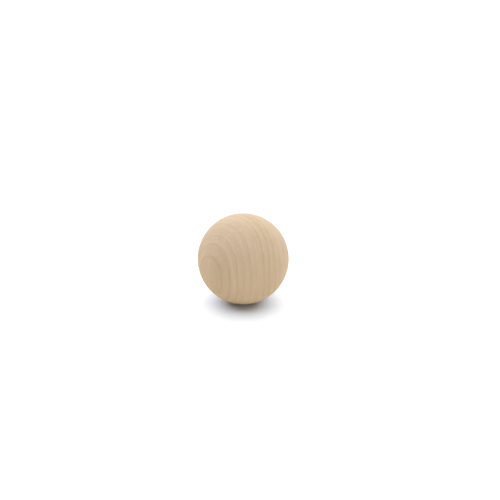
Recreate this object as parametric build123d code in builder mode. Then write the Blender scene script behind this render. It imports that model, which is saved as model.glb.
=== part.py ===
from build123d import *
import os

# Wooden ball: one piece of hardwood, turned round all over, with no hole, flat or fitting.
# The frame's origin is the ball's centre, and +Z is the lathe's axis, roughly along the grain.
# All lengths are in millimetres.

# Driving dimension
ball_diameter = 50.8

# Size that follows from it
ball_radius = ball_diameter / 2

# Points of the half section, on the lathe's axis and at the ball's widest
foot = (0, -ball_radius)
waist = (ball_radius, 0)
crown = (0, ball_radius)

# Ball: a half disc, with its straight side on the lathe's axis, turned once round that axis
with BuildPart() as ball:
    with BuildSketch(Plane.XZ) as half_section:
        with BuildLine() as half_outline:
            ThreePointArc(foot, waist, crown)
            Line(crown, foot)
        make_face()
    revolve(axis=Axis.Z)
ball.part.label = "ball"

os.makedirs("parts", exist_ok=True)
export_step(ball.part, "parts/ball.step")
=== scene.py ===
import math

import bmesh
import bpy
import numpy as np
from mathutils import Euler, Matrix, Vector, noise


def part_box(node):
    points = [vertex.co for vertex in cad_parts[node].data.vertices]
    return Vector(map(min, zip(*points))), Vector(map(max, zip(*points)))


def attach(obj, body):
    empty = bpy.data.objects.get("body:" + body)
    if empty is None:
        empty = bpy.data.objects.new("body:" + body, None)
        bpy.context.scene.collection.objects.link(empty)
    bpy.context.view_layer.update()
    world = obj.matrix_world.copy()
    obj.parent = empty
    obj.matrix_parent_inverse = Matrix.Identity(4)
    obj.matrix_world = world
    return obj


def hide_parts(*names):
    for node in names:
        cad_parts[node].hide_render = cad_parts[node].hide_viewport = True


# Looks of a turned hardwood ball, raw and sanded, on a white table under soft light from above
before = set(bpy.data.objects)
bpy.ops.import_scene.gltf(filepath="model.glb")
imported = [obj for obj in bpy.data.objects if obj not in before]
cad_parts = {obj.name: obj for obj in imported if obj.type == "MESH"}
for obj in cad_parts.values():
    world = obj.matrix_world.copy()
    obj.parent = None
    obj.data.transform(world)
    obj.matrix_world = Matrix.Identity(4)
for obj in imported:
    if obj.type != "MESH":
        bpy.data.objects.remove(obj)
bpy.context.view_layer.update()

MM = 0.001

# The ball, from the frame
ball_low, ball_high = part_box("ball")
ball_centre = (ball_low + ball_high) / 2
ball_radius = (ball_high.z - ball_low.z) / 2

# The blank, in shares of the ball's radius: the tree's pith ran outside the ball, at its left front
grain_lean = -0.15
pith_azimuth = math.radians(224)
pith_distance = 2.13
ring_skew = 0.075

# Growth rings: the first dark line and a year's width in the same shares, then a slow swing in years
first_line = -0.88
ring_width = 0.15
growth_swing = 0.058
swing_years = 6

# Strength of each dark line, outwards from the pith, starting at the line before the first
line_strengths = (0.6, 0.8, 1.0, 0.8, 0.65, 0.75, 0.15, 0.9, 1.0, 1.0, 0.35, 0.3, 0.7, 0.5, 0.8, 0.6)
line_before_first = -1

# Darkness of a year's wood from its start at 0 to its end at 1: pale early wood, then a soft brown line
season_darkness = (
    (0.0, 0.0),
    (0.35, 0.05),
    (0.68, 0.28),
    (0.85, 0.68),
    (0.94, 1.0),
    (0.975, 0.85),
    (1.0, 0.0),
)

# How far the rings waver, and over what length: a slow wander and a short ripple
wander_depth = 0.30 * MM
wander_length = 13 * MM
ripple_depth = 0.09 * MM
ripple_length = 4.5 * MM

# Soft variations: sizes in millimetres outwards, round the pith and along the grain, and detail
variations = {
    "bands": ((1.5, 26.0, 60.0), 2),
    "layers": ((0.6, 9.0, 30.0), 2),
    "fibres": ((0.22, 0.22, 6.0), 3),
    "streaks": ((1.6, 2.2, 28.0), 2),
    "clouds": ((14.0, 16.0, 34.0), 1),
}
variation_span = (0.25, 0.75)
noise_roughness = 0.55

# Pores, rays and breaks in the dark lines: sizes as above, and the values where each begins and ends
pore_size = (0.30, 0.30, 2.4)
pore_edge = (0.10, 0.24)
ray_size = (5.5, 0.16, 0.9)
ray_edge = (0.60, 0.72)
ray_detail = 1
line_break_size = (9.0, 13.0, 20.0)
line_break_span = (0.3, 0.7)
line_break_detail = 2
faintest_line = 0.75

# End grain: how squarely the grain meets the surface where it begins to show and where it shows fully
end_grain_span = (0.6, 1.0)

# What each part of the structure adds to the wood's darkness, roughness and height
darkness_shares = {
    "rings": 0.20,
    "bands": 0.08,
    "layers": 0.09,
    "fibres": 0.13,
    "streaks": 0.12,
    "clouds": 0.12,
    "pores": 0.19,
    "rays": 0.09,
    "end_grain": 0.08,
}
roughness_shares = {"fibres": 0.14, "end_grain": 0.08}
height_shares = {"fibres": 0.25, "pores": -0.9, "rings": 0.3}

# Colours of the wood by darkness, from its palest to its darkest
wood_colours = (
    (0.0, (0.737, 0.584, 0.406)),
    (0.5, (0.567, 0.406, 0.248)),
    (1.0, (0.381, 0.246, 0.136)),
)

# Feel of the sanded surface
smoothest_wood = 0.62
specular_level = 0.15
bump_strength = 0.35
bump_depth = 0.04 * MM

# Mesh of the ball, its relief, which is highest late in the year, and its map of six sides
grid_steps = 128
relief_depth = 0.015 * MM
proudest_season = 0.9
map_columns = 3
map_rows = 2
map_margin = 0.006

# Light: a broad soft lamp overhead that leans from behind, a weak one low on the right, and a dim room
lamp_irradiance = 4.35
lamp_colour = (0.96, 1.0, 1.11)
lamp_spread = math.radians(118)
lamp_turn = (math.radians(-18), math.radians(-3), 0)
fill_irradiance = 0.60
fill_colour = (0.96, 1.0, 1.06)
fill_spread = math.radians(60)
fill_turn = (math.radians(80), 0, math.radians(57))
room_light = 0.03
room_shown = 1.0
room_colour = (1, 1, 1, 1)

# White table: the colour that lights the ball, those that show, and a painted cool tint over its shadow
# at the foot
table_half = 30.0
table_colour = (0.93, 0.87, 0.76)
table_shown = (1.08, 1.07, 1.00)
# Painted tint: the table shows cooler round the ball's foot, cancelling the brown light the ball bounces
# into its shadow
table_shown_painted_cool_at_foot = (0.96, 1.22, 1.50)
painted_tint_reach = 1.1 * ball_radius

# The photograph's frame and view, in pixels and degrees, and the width of a usual sensor in millimetres
picture_width = 500
picture_centre = 250
ball_picture_x = 243.25
ball_picture_y = 258.68
ball_picture_radius = 45.7
focal_length_pixels = 1000
sight_elevation = math.radians(24.0)
sensor_width = 36


class Graph:
    """Adds nodes to a node tree. An input is given as a value or as the output that feeds it."""

    def __init__(self, tree):
        self.tree = tree
        tree.nodes.clear()

    def add(self, kind, inputs=None, **settings):
        node = self.tree.nodes.new("ShaderNode" + kind)
        for name, value in settings.items():
            setattr(node, name, value)
        for key, value in (inputs or {}).items():
            if isinstance(value, bpy.types.NodeSocket):
                self.tree.links.new(value, node.inputs[key])
            else:
                node.inputs[key].default_value = value
        return node

    def attribute(self, name, output):
        return self.add("Attribute", attribute_name=name).outputs[output]

    def maths(self, operation, *terms):
        return self.add("Math", dict(enumerate(terms)), operation=operation).outputs[0]

    def weighted(self, values, shares, start=0.0):
        """The start value plus the named values, each times its share."""
        result = start
        for name, share in shares.items():
            result = self.maths("MULTIPLY_ADD", values[name], share, result)
        return result

    def between(self, value, low, high, to_low=0.0, to_high=1.0, smooth=False):
        """Maps value from low and high to to_low and to_high, and holds it there outside."""
        kind = "SMOOTHSTEP" if smooth else "LINEAR"
        ends = {"From Min": low, "From Max": high, "To Min": to_low, "To Max": to_high}
        node = self.add("MapRange", {"Value": value, **ends}, interpolation_type=kind, clamp=True)
        return node.outputs["Result"]

    def ramp(self, value, stops):
        """A colour ramp of (place, colour) stops, where a colour is one number or three."""
        node = self.add("ValToRGB", {"Fac": value})
        ends = node.color_ramp.elements
        for stop in stops[1:-1]:
            ends.new(stop[0])
        for end, (place, colour) in zip(ends, stops):
            end.position = place
            end.color = (*colour, 1) if isinstance(colour, tuple) else (colour, colour, colour, 1)
        return node.outputs["Color"]

    def stretched(self, place, sizes):
        scale = tuple(1 / size for size in sizes)
        return self.add("VectorMath", {0: place, 1: scale}, operation="MULTIPLY").outputs["Vector"]

    def noise(self, place, sizes, detail):
        """Soft noise whose features have these sizes along the three axes of place."""
        vector = self.stretched(place, sizes)
        inputs = {"Vector": vector, "Scale": 1.0, "Detail": detail, "Roughness": noise_roughness}
        return self.add("TexNoise", inputs).outputs["Fac"]

    def cells(self, place, sizes):
        """Distance to the middle of the nearest of cells that have these sizes along place's axes."""
        vector = self.stretched(place, sizes)
        return self.add("TexVoronoi", {"Vector": vector, "Scale": 1.0}).outputs["Distance"]

    def matt(self, colour):
        return self.add("BsdfDiffuse", {"Color": (*colour, 1)}).outputs["BSDF"]

    def blend(self, share, first, second):
        return self.add("MixShader", {0: share, 1: first, 2: second}).outputs["Shader"]

    def seen_ray(self):
        """One for rays that show a thing, straight or through gloss or glass, and zero for others."""
        path = self.add("LightPath").outputs
        seen = self.maths("MAXIMUM", path["Is Camera Ray"], path["Is Glossy Ray"])
        return self.maths("MAXIMUM", seen, path["Is Transmission Ray"])


def grain_frame():
    """The grain's direction, the one from the ball's centre to the pith, and the one across both."""
    along = Vector((0, grain_lean, 1)).normalized()
    level = Vector((math.cos(pith_azimuth), math.sin(pith_azimuth), 0))
    inward = (level - level.dot(along) * along).normalized()
    return np.array(along), np.array(inward), np.array(along.cross(inward))


def waver(points, depth, length):
    return depth * np.array([noise.noise(Vector(point) / length) for point in points])


def wood_coordinates(points):
    """How far out from the ball's middle, round the pith and along the grain points lie in the wood."""
    along, inward, across = grain_frame()
    from_centre = points - np.array(ball_centre)
    x = pith_distance * ball_radius - from_centre @ inward
    y = from_centre @ across
    height = from_centre @ along
    # The rings of a tree aren't quite round, and they waver
    skew = ring_skew * y ** 3 / ball_radius ** 2
    wander = waver(from_centre, wander_depth, wander_length)
    ripple = waver(from_centre, ripple_depth, ripple_length)
    outward = np.hypot(x, y) - pith_distance * ball_radius + skew + wander + ripple
    around = np.arctan2(y, x) * pith_distance * ball_radius
    return outward, around, height


def ring_count(outward):
    """Growth rings counted outwards: a dark line lies at each whole number."""
    even = (outward / ball_radius - first_line) / ring_width
    return even + growth_swing * (1 - np.cos(2 * math.pi * even / swing_years))


def cube_ball():
    """A mapped cube with a grid on each side, and the directions that blow it up to an even sphere."""
    shape = bmesh.new()
    bmesh.ops.create_cube(shape, size=2)
    bmesh.ops.subdivide_edges(shape, edges=shape.edges, cuts=grid_steps - 1, use_grid_fill=True)
    mesh = bpy.data.meshes.new("wood_ball")
    shape.to_mesh(mesh)
    shape.free()
    cube = np.empty(len(mesh.vertices) * 3)
    mesh.vertices.foreach_get("co", cube)
    cube = cube.reshape(-1, 3)
    lay_out(mesh, cube)
    tangents = np.tan(cube * math.pi / 4)
    directions = tangents / np.linalg.norm(tangents, axis=1)[:, None]
    return mesh, directions


def lay_out(mesh, cube):
    """Lays the cube's six sides out on the map, in columns and rows."""
    corners = np.empty(len(mesh.loops), int)
    mesh.loops.foreach_get("vertex_index", corners)
    places = cube[corners].reshape(-1, 4, 3)
    faces = np.arange(len(places))
    middles = places.mean(1)
    axis = np.abs(middles).argmax(1)
    side = axis * 2 + (middles[faces, axis] > 0)
    # Of the two cube axes that run across a side, the first is laid upwards and the second to the right
    upward = np.array([1, 0, 0])[axis]
    rightward = np.array([2, 2, 1])[axis]
    up = (places[faces, :, upward] + 1) / 2
    right = (places[faces, :, rightward] + 1) / 2
    column = (side % map_columns)[:, None]
    row = (side // map_columns)[:, None]
    u = column / map_columns + map_margin + right * (1 / map_columns - 2 * map_margin)
    v = row / map_rows + map_margin + up * (1 / map_rows - 2 * map_margin)
    layer = mesh.uv_layers.new(name="OFBake")
    layer.uv.foreach_set("vector", np.stack([u, v], 2).ravel())


def add_values(mesh, name, kind, values):
    attribute = mesh.attributes.new(name, kind, "POINT")
    attribute.data.foreach_set("vector" if kind == "FLOAT_VECTOR" else "value", np.ravel(values))


def wooden_ball(material):
    """The ball, with the wood's coordinates at each point and the late wood standing a little proud."""
    mesh, directions = cube_ball()
    surface = np.array(ball_centre) + ball_radius * directions
    outward, around, height = wood_coordinates(surface)
    rings = ring_count(outward)
    lines = np.arange(len(line_strengths)) + line_before_first
    below_proudest = 0.5 - 0.5 * np.cos(2 * math.pi * (rings - proudest_season))
    points = surface - relief_depth * below_proudest[:, None] * directions
    mesh.vertices.foreach_set("co", points.ravel())
    along = grain_frame()[0]
    add_values(mesh, "rings", "FLOAT", rings)
    add_values(mesh, "line_strength", "FLOAT", np.interp(rings, lines, line_strengths))
    add_values(mesh, "wood_mm", "FLOAT_VECTOR", np.stack([outward, around, height], 1) / MM)
    add_values(mesh, "end_grain", "FLOAT", np.abs(directions @ along))
    mesh.shade_smooth()
    mesh.materials.append(material)
    ball = bpy.data.objects.new("wood_ball", mesh)
    bpy.context.scene.collection.objects.link(ball)
    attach(ball, "root")
    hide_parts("ball")


def wood_structure(graph):
    """Each part of the wood's structure by name, as a value from 0 to 1."""
    place = graph.attribute("wood_mm", "Vector")
    wood = {}
    for name, (sizes, detail) in variations.items():
        wood[name] = graph.between(graph.noise(place, sizes, detail), *variation_span)
    season = graph.maths("FRACT", graph.attribute("rings", "Fac"))
    strength = graph.attribute("line_strength", "Fac")
    line = graph.maths("MULTIPLY", graph.ramp(season, season_darkness), strength)
    breaks = graph.noise(place, line_break_size, line_break_detail)
    steadiness = graph.between(breaks, *line_break_span, faintest_line, 1)
    wood["rings"] = graph.maths("MULTIPLY", line, steadiness)
    wood["pores"] = graph.between(graph.cells(place, pore_size), *pore_edge, 1, 0, smooth=True)
    wood["rays"] = graph.between(graph.noise(place, ray_size, ray_detail), *ray_edge, smooth=True)
    wood["end_grain"] = graph.between(graph.attribute("end_grain", "Fac"), *end_grain_span, smooth=True)
    return wood


def wood_material():
    """Raw sanded hardwood: the parts of its structure add up to a darkness, which picks the colour."""
    material = bpy.data.materials.new("raw_hardwood")
    material.use_nodes = True
    graph = Graph(material.node_tree)
    wood = wood_structure(graph)
    height = graph.weighted(wood, height_shares)
    bump = graph.add("Bump", {"Strength": bump_strength, "Distance": bump_depth, "Height": height})
    surface = graph.add("BsdfPrincipled", {
        "Base Color": graph.ramp(graph.weighted(wood, darkness_shares), wood_colours),
        "Roughness": graph.weighted(wood, roughness_shares, smoothest_wood),
        "Specular IOR Level": specular_level,
        "Normal": bump.outputs["Normal"],
    })
    graph.add("OutputMaterial", {"Surface": surface.outputs["BSDF"]})
    return material


def table_material():
    """White that shows brighter than it lights the ball, with a painted cool tint round the ball's foot
    that cancels the brown glow in its shadow.
    """
    material = bpy.data.materials.new("white_table")
    material.use_nodes = True
    graph = Graph(material.node_tree)
    from_foot = graph.add("TexCoord").outputs["Object"]
    away = graph.add("VectorMath", {0: from_foot}, operation="LENGTH").outputs["Value"]
    # Painted tint: cooler near the foot, where the ball's shadow takes a brown glow from the ball,
    # fading out by the reach
    painted_tint_fade = graph.between(away, 0, painted_tint_reach)
    shown = graph.blend(painted_tint_fade, graph.matt(table_shown_painted_cool_at_foot), graph.matt(table_shown))
    surface = graph.blend(graph.seen_ray(), graph.matt(table_colour), shown)
    graph.add("OutputMaterial", {"Surface": surface})
    return material


def white_table(material):
    """A wide table top that the ball stands on, with its own origin at the ball's foot."""
    mesh = bpy.data.meshes.new("table_top")
    corners = [(-1, -1), (1, -1), (1, 1), (-1, 1)]
    mesh.from_pydata([(x * table_half, y * table_half, 0) for x, y in corners], [], [(0, 1, 2, 3)])
    mesh.materials.append(material)
    table = bpy.data.objects.new("table_top", mesh)
    table.location = (ball_centre.x, ball_centre.y, ball_low.z)
    bpy.context.scene.collection.objects.link(table)


def soft_lamp(name, colour, irradiance, spread, turn):
    data = bpy.data.lights.new(name, "SUN")
    data.color = colour
    data.energy = irradiance
    data.angle = spread
    lamp = bpy.data.objects.new(name, data)
    lamp.rotation_euler = turn
    bpy.context.scene.collection.objects.link(lamp)


def studio_light():
    """Two soft lamps, and a dim room that shows as plain white behind everything."""
    soft_lamp("overhead_light", lamp_colour, lamp_irradiance, lamp_spread, lamp_turn)
    soft_lamp("fill_light", fill_colour, fill_irradiance, fill_spread, fill_turn)
    world = bpy.data.worlds.new("white_room")
    world.use_nodes = True
    bpy.context.scene.world = world
    graph = Graph(world.node_tree)
    strength = graph.between(graph.seen_ray(), 0, 1, room_light, room_shown)
    room = graph.add("Background", {"Color": room_colour, "Strength": strength})
    graph.add("OutputWorld", {"Surface": room.outputs["Background"]})


def photograph_camera():
    """The photograph's camera: the ball shows as large and as far from the middle as it does there."""
    data = bpy.data.cameras.new("camera")
    data.sensor_width = sensor_width
    data.lens = sensor_width * focal_length_pixels / picture_width
    half_angle = math.atan(ball_picture_radius / focal_length_pixels)
    distance = ball_radius / math.sin(half_angle)
    sight = Vector((0, math.cos(sight_elevation), -math.sin(sight_elevation)))
    camera = bpy.data.objects.new("camera", data)
    camera.location = ball_centre - distance * sight
    turn_up = math.atan((ball_picture_y - picture_centre) / focal_length_pixels)
    turn_right = math.atan((picture_centre - ball_picture_x) / focal_length_pixels)
    aim = sight.to_track_quat("-Z", "Y") @ Euler((turn_up, -turn_right, 0)).to_quaternion()
    camera.rotation_euler = aim.to_euler()
    bpy.context.scene.collection.objects.link(camera)
    bpy.context.scene.camera = camera


wooden_ball(wood_material())
white_table(table_material())
studio_light()
photograph_camera()
bpy.context.scene.view_settings.view_transform = "Standard"
